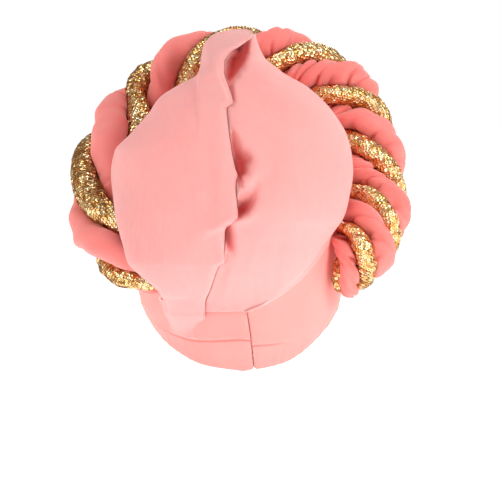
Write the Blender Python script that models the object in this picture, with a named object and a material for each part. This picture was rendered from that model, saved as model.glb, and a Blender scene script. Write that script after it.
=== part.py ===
# Turban cap: a stretchy crown, a puffed pouch in two parts, a two-part nape band and a rope of four padded strands.
# Origin: the highest point inside the crown, where the cap sits on a head. +Z up, +Y to the wearer's face.

import functools
import math
from collections import namedtuple

import bmesh
import bpy
import numpy as np

# Driving dimensions in metres.
head_half_width = 0.074
head_back = 0.095
head_front = 0.095
head_rise = 0.095  # from the widest level of the head up to its top
nape_drop = 0.117  # from the widest level down to the nape hem
cloth = 0.002
layer_gap = 0.0005  # between two layers of cloth that lie on each other
rope_radius = 0.026
band_height = 0.072
seam_gap = 0.0004
fold_clearance = 0.0014  # between the rolled edge and the lobe that runs under it
side_puff = 0.021  # how far the pouch stands out beside the head
back_puff = 0.030
top_puff = 0.046
pouch_hang = 0.079  # from the widest level down to the pouch's lower edge
roll_radius = 0.006  # the rolled edge of the left panel
fold_sink = 0.020  # the deepest hollow beside the fold
edge_width = 0.004  # the pouch's edge that lies flat on the band
top_overlap = 0.004  # where the pouch's two parts meet in front, from the middle

# Angles in degrees.
seam_bearing = 7.0  # the centre-back seam, from straight back towards +X
section_tip = 7.0  # the pouch's sections tip down towards the back by this
pink_half_angle = 51.0
gold_half_angle = 39.0

# Counts of facets.
crown_rows, crown_columns = 9, 27
band_rows, band_columns = 6, 15
panel_rows, lobe_rows = 29, 27
rope_rings = 84

# Sizes that follow from the ones above.
widest_level = -head_rise
pouch_half_width = head_half_width + side_puff
pouch_depth = head_back + back_puff
pouch_height = top_puff + head_rise + pouch_hang

# The head form below its widest level: shares of nape_drop, head_half_width, head_back and head_front.
HeadRow = namedtuple("HeadRow", "drop width back front")
head_table = (
    HeadRow(0.00, 1.00, 1.00, 1.00),
    HeadRow(0.22, 1.01, 0.98, 0.98),
    HeadRow(0.47, 1.01, 0.91, 0.95),
    HeadRow(0.61, 0.99, 0.84, 0.92),
    HeadRow(0.73, 0.93, 0.77, 0.90),
    HeadRow(0.83, 0.86, 0.71, 0.88),
    HeadRow(1.00, 0.78, 0.64, 0.85),
    HeadRow(1.20, 0.76, 0.62, 0.84),
)

# The crown's front hem and rear seam, as lean angles at each bearing round the head's long axis.
CrownRow = namedtuple("CrownRow", "bearing hem seam")
crown_table = (
    CrownRow(0, 70, 11),
    CrownRow(45, 68, 6),
    CrownRow(87, 52, -15),
    CrownRow(115, 23, -21),
    CrownRow(126, 6, -16),
)

# The nape band: hem as a share of nape_drop and height as a share of band_height, at each bearing from the back.
BandRow = namedtuple("BandRow", "bearing hem height")
band_table = (
    BandRow(0, 1.00, 0.80),
    BandRow(30, 0.96, 0.98),
    BandRow(60, 0.83, 1.18),
    BandRow(80, 0.64, 1.04),
    BandRow(95, 0.50, 0.72),
)

# The rope's seat on the head: bearing and lean of its axis, how far it stands off and its girth as shares of
# rope_radius. The turn is the angle from the top of the cap as seen from straight behind.
RopeRow = namedtuple("RopeRow", "turn bearing lean stand girth")
rope_table = (
    RopeRow(-146, -129, -46, 0.00, 0.24),
    RopeRow(-140, -123, -44, 0.00, 0.52),
    RopeRow(-127, -111, -38, 0.00, 0.84),
    RopeRow(-113, -99, -30, 0.00, 1.00),
    RopeRow(-99, -89, -18, 0.05, 1.04),
    RopeRow(-76, -69, 2, 0.00, 1.04),
    RopeRow(-64, -59, 16, 0.00, 1.00),
    RopeRow(-47, -45, 26, 0.00, 1.00),
    RopeRow(-29, -29, 28, 0.00, 1.00),
    RopeRow(0, -3, 28, 0.00, 0.98),
    RopeRow(24, 18, 25, 0.05, 0.95),
    RopeRow(37, 30, 20, 0.15, 0.95),
    RopeRow(65, 56, 12, 0.20, 0.94),
    RopeRow(88, 81, 0, 0.05, 0.92),
    RopeRow(109, 98, -19, 0.00, 0.92),
    RopeRow(119, 109, -25, 0.00, 0.80),
    RopeRow(126, 118, -26, 0.00, 0.58),
    RopeRow(131, 125, -23, 0.00, 0.36),
)

# The twist: the turn at which each half turn of the rope is complete and a gold strand faces out.
TwistRow = namedtuple("TwistRow", "half_turns turn")
twist_table = (
    TwistRow(0, -146),
    TwistRow(1, -104),
    TwistRow(2, -58),
    TwistRow(3, -20),
    TwistRow(4, 22),
    TwistRow(5, 51),
    TwistRow(6, 76),
    TwistRow(7, 101),
    TwistRow(8, 118),
    TwistRow(8.7, 131),
)

# One strand's outline in the rope's cross-section: shares of its half angle and of the rope's radius.
PetalPoint = namedtuple("PetalPoint", "swing reach")
petal_table = (
    PetalPoint(0.00, 0.08),
    PetalPoint(-0.86, 0.42),
    PetalPoint(-0.88, 0.80),
    PetalPoint(-0.46, 0.98),
    PetalPoint(0.00, 1.03),
    PetalPoint(0.46, 0.98),
    PetalPoint(0.88, 0.80),
    PetalPoint(0.86, 0.42),
)

# The left panel's sections from its top: drop as a share of pouch_height, side and fold as shares of
# pouch_half_width, rear, flank and rim as shares of pouch_depth, roll as a share of roll_radius. Where tuck is 1
# the edge turns in to the crown, and where it is 0 it lies flat on the band.
PanelRow = namedtuple("PanelRow", "drop side fold rear flank rim roll tuck")
panel_table = (
    PanelRow(0.000, -0.08, 0.03, -0.05, -0.08, -0.11, 0.3, 1),
    PanelRow(0.011, -0.17, 0.07, 0.05, -0.08, -0.16, 0.7, 1),
    PanelRow(0.032, -0.24, 0.10, 0.16, -0.07, -0.20, 1.2, 1),
    PanelRow(0.056, -0.28, 0.03, 0.24, -0.05, -0.21, 1.4, 1),
    PanelRow(0.098, -0.32, -0.10, 0.34, -0.02, -0.21, 1.4, 1),
    PanelRow(0.150, -0.33, -0.13, 0.45, 0.05, -0.20, 1.2, 1),
    PanelRow(0.200, -0.51, -0.10, 0.54, 0.14, -0.19, 1.2, 1),
    PanelRow(0.250, -0.67, -0.06, 0.66, 0.20, -0.16, 1.0, 1),
    PanelRow(0.294, -0.74, -0.11, 0.74, 0.25, -0.12, 1.0, 1),
    PanelRow(0.374, -0.90, -0.08, 0.85, 0.31, -0.04, 1.0, 1),
    PanelRow(0.431, -1.02, -0.06, 0.90, 0.35, 0.05, 1.0, 1),
    PanelRow(0.508, -1.05, -0.03, 0.95, 0.39, 0.15, 1.0, 1),
    PanelRow(0.627, -1.02, -0.02, 0.99, 0.48, 0.30, 1.0, 1),
    PanelRow(0.697, -0.99, -0.12, 0.98, 0.56, 0.40, 1.0, 1),
    PanelRow(0.760, -0.95, -0.13, 0.97, 0.62, 0.50, 1.0, 1),
    PanelRow(0.823, -0.91, -0.13, 0.95, 0.68, 0.56, 1.0, 1),
    PanelRow(0.872, -0.80, -0.19, 0.92, 0.70, 0.60, 1.0, 0.4),
    PanelRow(0.920, -0.66, -0.24, 0.88, 0.68, 0.62, 0.9, 0),
    PanelRow(0.960, -0.60, -0.26, 0.84, 0.60, 0.60, 0.7, 0),
    PanelRow(1.000, -0.58, -0.28, 0.77, 0.50, 0.50, 0.4, 0),
)

# The right lobe's sections: as the left panel's, with the hollow beside the fold as a share of fold_sink and
# its spread as a share of pouch_half_width.
LobeRow = namedtuple("LobeRow", "drop side rear flank rim sink spread tuck")
lobe_table = (
    LobeRow(0.014, 0.20, -0.02, -0.08, -0.12, 0.0, 0.10, 1),
    LobeRow(0.045, 0.24, 0.10, -0.07, -0.20, 0.2, 0.10, 1),
    LobeRow(0.098, 0.26, 0.27, -0.04, -0.21, 0.9, 0.14, 1),
    LobeRow(0.150, 0.36, 0.42, 0.02, -0.20, 1.1, 0.12, 1),
    LobeRow(0.200, 0.54, 0.54, 0.10, -0.19, 0.8, 0.07, 1),
    LobeRow(0.250, 0.67, 0.66, 0.16, -0.16, 0.25, 0.05, 1),
    LobeRow(0.294, 0.76, 0.74, 0.20, -0.12, 0.2, 0.05, 1),
    LobeRow(0.374, 0.87, 0.84, 0.26, -0.04, 0.3, 0.06, 1),
    LobeRow(0.445, 0.91, 0.90, 0.31, 0.05, 0.4, 0.07, 1),
    LobeRow(0.500, 0.92, 0.94, 0.35, 0.15, 0.8, 0.09, 1),
    LobeRow(0.540, 0.92, 0.96, 0.38, 0.20, 0.3, 0.06, 1),
    LobeRow(0.590, 0.89, 0.97, 0.42, 0.26, 0.4, 0.09, 1),
    LobeRow(0.645, 0.84, 0.98, 0.46, 0.34, 0.8, 0.12, 1),
    LobeRow(0.675, 0.80, 0.98, 0.48, 0.38, 0.3, 0.08, 0.8),
    LobeRow(0.720, 0.73, 0.97, 0.52, 0.44, 0.7, 0.07, 0.4),
    LobeRow(0.760, 0.67, 0.95, 0.58, 0.54, 0.4, 0.06, 0),
    LobeRow(0.798, 0.61, 0.93, 0.58, 0.54, 0.3, 0.06, 0),
    LobeRow(0.864, 0.49, 0.89, 0.62, 0.60, 0.2, 0.06, 0),
    LobeRow(0.928, 0.33, 0.83, 0.66, 0.64, 0.2, 0.06, 0),
    LobeRow(0.975, 0.15, 0.77, 0.67, 0.66, 0.1, 0.05, 0),
    LobeRow(0.995, 0.04, 0.73, 0.66, 0.66, 0.1, 0.05, 0),
)


def read(table, column, at):
    """The column's value at a knot between the table's rows, on a smooth curve through them."""
    knots = [row[0] for row in table]
    values = [getattr(row, column) for row in table]
    if at <= knots[0]:
        return values[0]
    if at >= knots[-1]:
        return values[-1]
    after = next(i for i, knot in enumerate(knots) if knot > at)
    before = after - 1
    span = knots[after] - knots[before]
    slopes = [(values[i + 1] - values[i]) / (knots[i + 1] - knots[i]) for i in range(len(knots) - 1)]

    def tangent(i):
        if i in (0, len(knots) - 1):
            return slopes[min(i, len(slopes) - 1)]
        left, right = slopes[i - 1], slopes[i]
        return 0.0 if left * right <= 0 else 2 * left * right / (left + right)

    t = (at - knots[before]) / span
    return (
        (2 * t**3 - 3 * t**2 + 1) * values[before]
        + (t**3 - 2 * t**2 + t) * span * tangent(before)
        + (3 * t**2 - 2 * t**3) * values[after]
        + (t**3 - t**2) * span * tangent(after)
    )


def half_section(z, lift):
    """Half width, back and front length of the head form at a height, standing lift off the head."""
    if z >= widest_level:
        rise = (z - widest_level) / (head_rise + lift)
        share = math.sqrt(max(0.0, 1 - rise * rise))
        return (head_half_width + lift) * share, (head_back + lift) * share, (head_front + lift) * share
    drop = (widest_level - z) / nape_drop
    width = head_half_width * read(head_table, "width", drop) + lift
    back = head_back * read(head_table, "back", drop) + lift
    return width, back, head_front * read(head_table, "front", drop) + lift


def on_head(bearing, lean, lift):
    """The point lift off the head form, seen from its middle at a bearing round +Y and a lean towards +Y."""
    turn, tilt = math.radians(bearing), math.radians(lean)
    direction = np.array((math.sin(turn) * math.cos(tilt), math.sin(tilt), math.cos(turn) * math.cos(tilt)))
    middle = np.array((0.0, 0.0, widest_level))
    near, far = 0.0, 2 * (head_rise + head_back + lift)
    for _ in range(40):
        reach = (near + far) / 2
        x, y, z = middle + reach * direction
        width, back, front = half_section(z, lift)
        length = front if y > 0 else back
        inside = width > 0 and (x / width) ** 2 + (y / length) ** 2 < 1
        near, far = (reach, far) if inside else (near, reach)
    return middle + near * direction


def height_of(level, y):
    """The height of a point at depth y in the tipped plane of a section."""
    tip = math.radians(section_tip)
    return (level - y * math.sin(tip)) / math.cos(tip)


def seat_depth(x, level, lift):
    """How far back the head form reaches, lift off the head, in a tipped plane, or None beside the head."""
    y = -head_back
    for _ in range(12):
        width, back, _ = half_section(height_of(level, y), lift)
        if width <= abs(x):
            return None
        y = -back * math.sqrt(1 - (x / width) ** 2)
    return y


def seat_reach(y, level, lift):
    """The half width of the head form at depth y, lift off the head, in a tipped plane."""
    width, back, front = half_section(height_of(level, y), lift)
    length = front if y > 0 else back
    if width <= 0 or abs(y) >= length:
        return 0.0
    return width * math.sqrt(1 - (y / length) ** 2)


def principled(name, colour, roughness, metallic=0.0):
    material = bpy.data.materials.new(name)
    material.use_nodes = True
    shader = material.node_tree.nodes["Principled BSDF"]
    shader.inputs["Base Color"].default_value = (*colour, 1.0)
    shader.inputs["Roughness"].default_value = roughness
    shader.inputs["Metallic"].default_value = metallic
    material.diffuse_color = (*colour, 1.0)
    return material


def pouch_cloth():
    return principled("pouch_cloth", (0.85, 0.42, 0.40), 0.75)


def band_cloth():
    return principled("band_cloth", (0.90, 0.38, 0.36), 0.78)


def crown_cloth():
    return principled("crown_cloth", (0.88, 0.36, 0.34), 0.78)


def strand_cloth():
    return principled("strand_cloth", (0.88, 0.40, 0.38), 0.70)


def sequin_gold():
    return principled("sequin_gold", (0.80, 0.55, 0.22), 0.30, 0.9)


def solid(name, points, faces, material):
    mesh = bpy.data.meshes.new(name)
    work = bmesh.new()
    corners = [work.verts.new(point) for point in points]
    for face in faces:
        if len(set(face)) > 2:
            work.faces.new([corners[i] for i in dict.fromkeys(face)])
    bmesh.ops.recalc_face_normals(work, faces=work.faces)
    work.to_mesh(mesh)
    work.free()
    mesh.materials.append(material)
    mesh.shade_smooth()
    mesh.set_sharp_from_angle(angle=math.radians(50))
    piece = bpy.data.objects.new(name, mesh)
    bpy.context.scene.collection.objects.link(piece)
    return piece


def cloth_shell(name, outer, material, pointed_top=False):
    """A sheet one cloth thick inside a grid of outer points, whose rows run across it."""
    outer = np.array(outer)
    down = np.gradient(outer, axis=0)
    across = np.gradient(outer, axis=1)
    normals = np.cross(down, across)
    lengths = np.linalg.norm(normals, axis=2, keepdims=True)
    normals = normals / np.maximum(lengths, 1e-12)
    middle = np.array((0.0, 0.0, widest_level))
    if ((outer - middle) * normals).sum() < 0:
        normals = -normals
    if pointed_top:
        outer[0] = outer[0].mean(axis=0)
        normals[0] = (0.0, 0.0, 1.0)
    inner = outer - cloth * normals
    rows, columns = outer.shape[:2]
    number = np.arange(2 * rows * columns).reshape(2, rows, columns)
    if pointed_top:
        number[0, 0, :] = number[0, 0, 0]
        number[1, 0, :] = number[1, 0, 0]
    faces = []
    for side in (0, 1):
        for i in range(rows - 1):
            for j in range(columns - 1):
                quad = number[side, i : i + 2, j : j + 2]
                faces.append((quad[0, 0], quad[1, 0], quad[1, 1], quad[0, 1]))
    rim = [(i, 0) for i in range(rows)]
    rim += [(rows - 1, j) for j in range(1, columns)]
    rim += [(i, columns - 1) for i in range(rows - 2, -1, -1)]
    rim += [(0, j) for j in range(columns - 2, 0, -1)]
    for (i, j), (k, l) in zip(rim, rim[1:] + rim[:1]):
        faces.append((number[0, i, j], number[0, k, l], number[1, k, l], number[1, i, j]))
    points = np.concatenate((outer.reshape(-1, 3), inner.reshape(-1, 3)))
    used = sorted({int(i) for face in faces for i in face})
    place = {old: new for new, old in enumerate(used)}
    faces = [tuple(place[int(i)] for i in face) for face in faces]
    return solid(name, [tuple(points[i]) for i in used], faces, material)


def crown():
    rows = []
    for i in range(crown_rows):
        share = i / (crown_rows - 1)
        row = []
        for j in range(crown_columns):
            bearing = crown_table[-1].bearing * (2 * j / (crown_columns - 1) - 1)
            hem = read(crown_table, "hem", abs(bearing))
            seam = read(crown_table, "seam", abs(bearing))
            row.append(on_head(bearing, hem + (seam - hem) * share, cloth))
        rows.append(row)
    return cloth_shell("crown", rows, crown_cloth())


def nape_band(name, start, end):
    """Half of the band, between two bearings from straight back."""
    lift = 2 * cloth + layer_gap
    rows = []
    for i in range(band_rows):
        row = []
        for j in range(band_columns):
            bearing = start + (end - start) * j / (band_columns - 1)
            hem = widest_level - nape_drop * read(band_table, "hem", abs(bearing))
            z = hem + band_height * read(band_table, "height", abs(bearing)) * i / (band_rows - 1)
            width, back, front = half_section(z, lift)
            turn = math.radians(bearing)
            length = back if math.cos(turn) > 0 else front
            row.append((width * math.sin(turn), -length * math.cos(turn), z))
        rows.append(row)
    return cloth_shell(name, rows, band_cloth())


def nape_bands():
    side = band_table[-1].bearing
    half_gap = math.degrees(seam_gap / 2 / (head_half_width * head_table[-2].width))
    nape_band("nape_band_left", -side, seam_bearing - half_gap)
    nape_band("nape_band_right", seam_bearing + half_gap, side)


def rope_depth(x, level, lift):
    """How far back the rope reaches, lift off it, on the line at x in a tipped plane, or None beside the rope."""
    tip = math.radians(section_tip)
    points, _, _, radii, _ = rope_axis()
    radii = np.array(radii) * petal_table[4].reach + lift
    way = np.array((0.0, math.cos(tip), -math.sin(tip)))
    start = np.array((x, 0.0, height_of(level, 0.0)))
    apart = points - start
    along = apart @ way
    square = radii**2 - ((apart - along[:, None] * way) ** 2).sum(axis=1)
    met = square > 0
    return float((along[met] - np.sqrt(square[met])).min() * math.cos(tip)) if met.any() else None


def held_off(x, y, level, lift):
    """The depth y, or the seat on the head form or the rope where y would sink into it."""
    seats = (seat_depth(x, level, lift), rope_depth(x, level, cloth + 3 * layer_gap))
    return min([y] + [seat for seat in seats if seat is not None])


def edge_points(side, flank, rim, inner, tuck, level, lift):
    """The last points of a section: the edge turns in to the crown, or runs on flat over the band."""
    points = []
    for i in range(1, 6):
        angle = math.radians(90 * i / 5)
        turned = inner + (side - inner) * math.cos(angle)
        flat = side + math.copysign(edge_width * i / 5, side)
        x = tuck * turned + (1 - tuck) * flat
        y = flank + (rim - flank) * math.sin(angle)
        if tuck < 1:
            seat = seat_depth(x, level, lift)
            y = y if seat is None else tuck * y + (1 - tuck) * seat
        y = held_off(x, y, level, lift)
        points.append((x, y, height_of(level, y)))
    return points


def section(table, drop, lift):
    """The sizes of one section of the pouch, from its table's shares."""
    top = widest_level + head_rise + top_puff
    level = top - pouch_height * drop
    side = pouch_half_width * read(table, "side", drop)
    rear = -pouch_depth * read(table, "rear", drop)
    flank = -pouch_depth * read(table, "flank", drop)
    rim = -pouch_depth * read(table, "rim", drop)
    tuck = read(table, "tuck", drop)
    seat = seat_depth(side, level, lift)
    if tuck < 1 and seat is not None:
        flank = tuck * flank + (1 - tuck) * seat
    flank = held_off(side, flank, level, lift)
    inner = math.copysign(seat_reach(rim, level, 2 * cloth + 2 * layer_gap), side)
    return level, side, rear, flank, rim, tuck, inner


def roll_of(drop):
    """The rolled edge of the left panel: the middle of its roll and its radius."""
    fold = pouch_half_width * read(panel_table, "fold", drop)
    rear = -pouch_depth * read(panel_table, "rear", drop)
    radius = roll_radius * read(panel_table, "roll", drop)
    return fold - radius, rear + radius, radius


def panel_section(row_share):
    """One section of the left panel, from under its rolled edge round to the rim behind the rope."""
    drop = panel_table[0].drop + (panel_table[-1].drop - panel_table[0].drop) * row_share
    lift = 3 * cloth + 3 * layer_gap
    level, side, rear, flank, rim, tuck, inner = section(panel_table, drop, lift)
    start, middle, radius = roll_of(drop)
    points = []
    for turn in (165, 130, 95, 60, 30):
        angle = math.radians(turn)
        points.append((start + radius * math.sin(angle), middle - radius * math.cos(angle)))
    for i in range(11):
        angle = math.radians(90 * i / 10)
        points.append((start + (side - start) * math.sin(angle), flank + (rear - flank) * math.cos(angle)))
    points = [(x, held_off(x, y, level, lift)) for x, y in points]
    points = [(x, y, height_of(level, y)) for x, y in points]
    inner = min(inner, start if drop > panel_table[5].drop else top_overlap)
    inner = max(inner, side + edge_width)
    return points + edge_points(side, flank, rim, inner, tuck, level, lift)


def pouch_left_panel():
    rows = [panel_section(i / (panel_rows - 1)) for i in range(panel_rows)]
    return cloth_shell("pouch_left_panel", rows, pouch_cloth(), pointed_top=True)


def lobe_section(row_share):
    """One section of the right lobe, from under the left panel's roll round to the rim behind the rope."""
    drop = lobe_table[0].drop + (lobe_table[-1].drop - lobe_table[0].drop) * row_share
    lift = 3 * cloth + 3 * layer_gap
    level, side, rear, flank, rim, tuck, inner = section(lobe_table, drop, lift)
    start, middle, radius = roll_of(drop)
    clear = radius + fold_clearance
    fold = start + clear
    sink = fold_sink * read(lobe_table, "sink", drop)
    spread = pouch_half_width * read(lobe_table, "spread", drop)
    points = []
    for turn in (200, 175, 150, 125, 100):
        angle = math.radians(turn)
        points.append((start + clear * math.sin(angle), max(middle - clear * math.cos(angle), rear + sink)))
    for i in range(13):
        angle = math.radians(90 * (i + 0.2) / 12.2)
        x = fold + (side - fold) * math.sin(angle)
        y = flank + (rear - flank) * math.cos(angle)
        points.append((x, y + sink * math.exp(-(((x - fold) / spread) ** 2))))
    points = [(x, held_off(x, y, level, lift)) for x, y in points]
    points = [(x, y, height_of(level, y)) for x, y in points]
    inner = max(inner, top_overlap + edge_width)
    inner = min(inner, side - edge_width)
    return points + edge_points(side, flank, rim, inner, tuck, level, lift)


def pouch_right_lobe():
    rows = [lobe_section(i / (lobe_rows - 1)) for i in range(lobe_rows)]
    return cloth_shell("pouch_right_lobe", rows, pouch_cloth(), pointed_top=True)


@functools.cache
def rope_axis():
    """Along the rope: points on its axis, the way along it, the way straight back, its radius and its twist."""
    first, last = twist_table[0].half_turns, twist_table[-1].half_turns
    passed = [first + (last - first) * i / (rope_rings - 1) for i in range(rope_rings)]
    points, radii, twists = [], [], []
    for half_turns in passed:
        turn = read(twist_table, "turn", half_turns)
        radius = rope_radius * read(rope_table, "girth", turn)
        bearing = read(rope_table, "bearing", turn)
        lean = read(rope_table, "lean", turn)
        lift = 2 * cloth + 2 * layer_gap
        stand = rope_radius * read(rope_table, "stand", turn)
        points.append(on_head(bearing, lean, lift + stand + radius * petal_table[4].reach))
        radii.append(radius)
        twists.append(180 * half_turns)
    points = np.array(points)
    along = np.gradient(points, axis=0)
    along /= np.linalg.norm(along, axis=1, keepdims=True)
    back = np.array((0.0, -1.0, 0.0)) + along * along[:, 1:2]
    back /= np.linalg.norm(back, axis=1, keepdims=True)
    return points, along, back, radii, twists


def strand(name, middle_angle, half_angle, material):
    points, along, back, radii, twists = rope_axis()
    across = np.cross(along, back)
    sides = len(petal_table)
    corners, faces = [], []
    for ring in range(rope_rings):
        for petal in petal_table:
            angle = math.radians(middle_angle - twists[ring] + half_angle * petal.swing)
            reach = radii[ring] * petal.reach
            corners.append(points[ring] + reach * (math.cos(angle) * back[ring] + math.sin(angle) * across[ring]))
    for ring in range(rope_rings - 1):
        for i in range(sides):
            k = (i + 1) % sides
            inner_wall = petal_table[k].reach < petal_table[i].reach < petal_table[3].reach
            near, far = (k, i) if inner_wall else (i, k)
            a, b = ring * sides + near, ring * sides + far
            faces.append((a, b, b + sides))
            faces.append((a, b + sides, a + sides))
    faces.append(tuple(range(sides)))
    faces.append(tuple((rope_rings - 1) * sides + i for i in range(sides)))
    return solid(name, [tuple(corner) for corner in corners], faces, material)


def rope():
    strand("gold_strand_1", 0, gold_half_angle, sequin_gold())
    strand("pink_strand_1", 90, pink_half_angle, strand_cloth())
    strand("gold_strand_2", 180, gold_half_angle, sequin_gold())
    strand("pink_strand_2", 270, pink_half_angle, strand_cloth())


def main():
    for thing in list(bpy.data.objects):
        bpy.data.objects.remove(thing, do_unlink=True)
    crown()
    nape_bands()
    pouch_left_panel()
    pouch_right_lobe()
    rope()


main()
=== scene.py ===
import math

import bpy
import numpy as np
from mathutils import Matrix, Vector


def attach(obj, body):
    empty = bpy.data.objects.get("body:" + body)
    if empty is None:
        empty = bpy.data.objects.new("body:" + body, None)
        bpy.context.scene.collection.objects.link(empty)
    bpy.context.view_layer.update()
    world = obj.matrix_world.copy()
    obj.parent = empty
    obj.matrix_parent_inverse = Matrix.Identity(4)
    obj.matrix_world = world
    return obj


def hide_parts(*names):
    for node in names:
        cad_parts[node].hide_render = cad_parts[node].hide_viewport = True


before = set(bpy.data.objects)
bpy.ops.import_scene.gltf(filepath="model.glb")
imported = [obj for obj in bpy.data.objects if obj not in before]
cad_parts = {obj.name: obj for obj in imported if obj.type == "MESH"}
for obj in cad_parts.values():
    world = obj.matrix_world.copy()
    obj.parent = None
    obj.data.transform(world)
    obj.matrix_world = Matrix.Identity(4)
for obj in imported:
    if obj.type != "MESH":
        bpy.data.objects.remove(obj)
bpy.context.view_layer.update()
print("frame loaded")

# Camera: straight behind the cap and a little above it, as in the photograph
cameraView = {
    "pictureAcross": 0.385,    # metres across the picture at the cap
    "aim": (0.0077, -0.1254),  # metres across and up the picture, from the top of the head, at its middle
    "elevation": 7.0,          # degrees
    "distance": 7.0,           # metres to the plane that aimDepth names
    "aimDepth": -0.08,         # metres behind the head's middle
    "sensor": 36.0,            # mm
}


def makeCamera(v):
    tip = math.radians(v["elevation"])
    across, up = v["aim"]
    depth = v["aimDepth"]
    height = (up - depth * math.sin(tip)) / math.cos(tip)
    data = bpy.data.cameras.new("camera")
    data.sensor_width = v["sensor"]
    data.lens = v["sensor"] * v["distance"] / v["pictureAcross"]
    data.clip_end = 200
    camera = bpy.data.objects.new("camera", data)
    camera.location = (
        across,
        depth - v["distance"] * math.cos(tip),
        height + v["distance"] * math.sin(tip),
    )
    camera.rotation_euler = (math.radians(90) - tip, 0, 0)
    bpy.context.scene.collection.objects.link(camera)
    bpy.context.scene.camera = camera


makeCamera(cameraView)
print("camera set")


# Shader helper: a wire is one output socket, and sums on wires add Math nodes
class Wire:
    def __init__(self, tree, socket=None):
        self.tree = tree
        self.socket = socket

    def node(self, kind, settings=None, sockets=None, output=0):
        made = self.tree.nodes.new("ShaderNode" + kind)
        for name, value in (settings or {}).items():
            if name == "stops":
                self.setStops(made.color_ramp, value)
            else:
                setattr(made, name, value)
        for name, value in (sockets or {}).items():
            if isinstance(value, Wire):
                self.tree.links.new(value.socket, made.inputs[name])
            else:
                made.inputs[name].default_value = value
        return Wire(self.tree, made.outputs[output])

    def setStops(self, ramp, stops):
        while len(ramp.elements) < len(stops):
            ramp.elements.new(0.5)
        for element, (place, colour) in zip(ramp.elements, stops):
            element.position = place
            element.color = (*colour, 1)

    def math(self, operation, *values):
        return self.node("Math", {"operation": operation}, dict(enumerate(values)))

    def __add__(self, other):
        return self.math("ADD", self, other)

    def __sub__(self, other):
        return self.math("SUBTRACT", self, other)

    def __rsub__(self, other):
        return self.math("SUBTRACT", other, self)

    def __mul__(self, other):
        return self.math("MULTIPLY", self, other)

    __radd__ = __add__
    __rmul__ = __mul__


def startMaterial(name, fixed):  # fixed: values that are the same all over, set on the shader itself
    material = bpy.data.materials.new(name)
    material.use_nodes = True
    tree = material.node_tree
    shader = tree.nodes["Principled BSDF"]
    for socket, value in fixed.items():
        shader.inputs[socket].default_value = value
    return material, Wire(tree), shader


def plug(wire, shader, socket):
    wire.tree.links.new(wire.socket, shader.inputs[socket])


def mixColours(wire, share, first, second):
    sockets = {"Factor": share, 6: first, 7: second}
    return wire.node("Mix", {"data_type": "RGBA"}, sockets, output=2)


crepe = {
    "patchScale": 16.0,       # soft uneven dye, per metre
    "grainScale": 1500.0,     # the crepe's pebbles
    "crimpScale": 420.0,      # fine vertical crimp
    "crimpStretch": (1.0, 1.0, 0.12),
    "bumpDepth": 0.00022,     # metres
    "dye": (1.3, 0.5, 0.3),   # how far patches, crimps and grain shift the colour to its deep tone
    "dyeMiddle": 0.45,
    "roughness": 0.80,
    "roughnessSpread": 0.16,
    "sheen": {"Sheen Weight": 0.18, "Sheen Roughness": 0.45, "Sheen Tint": (1.0, 0.82, 0.78, 1)},
    "glow": 0.50,             # light that spreads inside the cloth
    "glowReach": 0.007,       # metres
    "glowColour": (1.0, 0.25, 0.2),
    "shine": 0.25,
}


def crepeMaterial(name, light, deep, v=crepe, crimp=0.5):
    fixed = {"Subsurface Weight": v["glow"], "Subsurface Radius": v["glowColour"]}
    fixed.update({"Subsurface Scale": v["glowReach"], "Specular IOR Level": v["shine"], **v["sheen"]})
    material, wire, shader = startMaterial(name, fixed)
    place = wire.node("TexCoord", output=3)
    long = wire.node("Mapping", sockets={"Vector": place, "Scale": v["crimpStretch"]})
    patches = wire.node("TexNoise", sockets={"Vector": place, "Scale": v["patchScale"], "Detail": 3.0})
    grain = wire.node("TexNoise", sockets={"Vector": place, "Scale": v["grainScale"], "Detail": 2.0})
    crimps = wire.node("TexNoise", sockets={"Vector": long, "Scale": v["crimpScale"], "Detail": 2.0})
    patchy, crimpy, grainy = v["dye"]
    share = (patches - 0.5) * patchy + (crimps - 0.5) * (crimpy * crimp)
    share = share + (grain - 0.5) * grainy + v["dyeMiddle"]
    colour = mixColours(wire, share, (*light, 1), (*deep, 1))
    height = grain * 0.6 + crimps * crimp
    bump = wire.node("Bump", sockets={"Strength": 0.7, "Distance": v["bumpDepth"], "Height": height})
    plug(colour, shader, "Base Color")
    plug((grain - 0.5) * v["roughnessSpread"] + v["roughness"], shader, "Roughness")
    plug(bump, shader, "Normal")
    return material


thread = {
    "plyScale": 3500.0,  # per metre
    "shade": 0.75,       # the darkest ply, as a share of the colour
    "roughness": (0.55, 0.75),
    "sheen": 0.4,
}


def threadMaterial(name, colour, v=thread):
    material, wire, shader = startMaterial(name, {"Sheen Weight": v["sheen"]})
    place = wire.node("TexCoord", output=3)
    ply = wire.node("TexNoise", sockets={"Vector": place, "Scale": v["plyScale"], "Detail": 1.0})
    low, high = v["roughness"]
    plug(mixColours(wire, ply, (*colour, 1), (*[c * v["shade"] for c in colour], 1)), shader, "Base Color")
    plug(ply * (high - low) + low, shader, "Roughness")
    return material


sequinLook = {
    "dark": (0.60, 0.27, 0.07),
    "amber": (0.90, 0.50, 0.15),
    "gold": (0.98, 0.67, 0.27),
    "champagne": (1.00, 0.85, 0.52),
    "roughness": (0.26, 0.42),
}


def sequinMaterial(v=sequinLook):
    material, wire, shader = startMaterial("sequinGold", {"Metallic": 1.0})
    chance = wire.node("NewGeometry", output=8)  # one random number for each sequin
    stops = ((0.0, v["dark"]), (0.13, v["amber"]), (0.42, v["gold"]), (0.8, v["champagne"]))
    colour = wire.node("ValToRGB", {"stops": stops}, {"Fac": chance})
    low, high = v["roughness"]
    plug(colour, shader, "Base Color")
    plug(chance * (high - low) + low, shader, "Roughness")
    return material


backing = {
    "metal": 0.35,
    "knitScale": 900.0,  # the net's loops, per metre
    "hollow": (0.24, 0.10, 0.03, 1),
    "loop": (0.60, 0.32, 0.10, 1),
    "bumpDepth": 0.0004,
}


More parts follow.
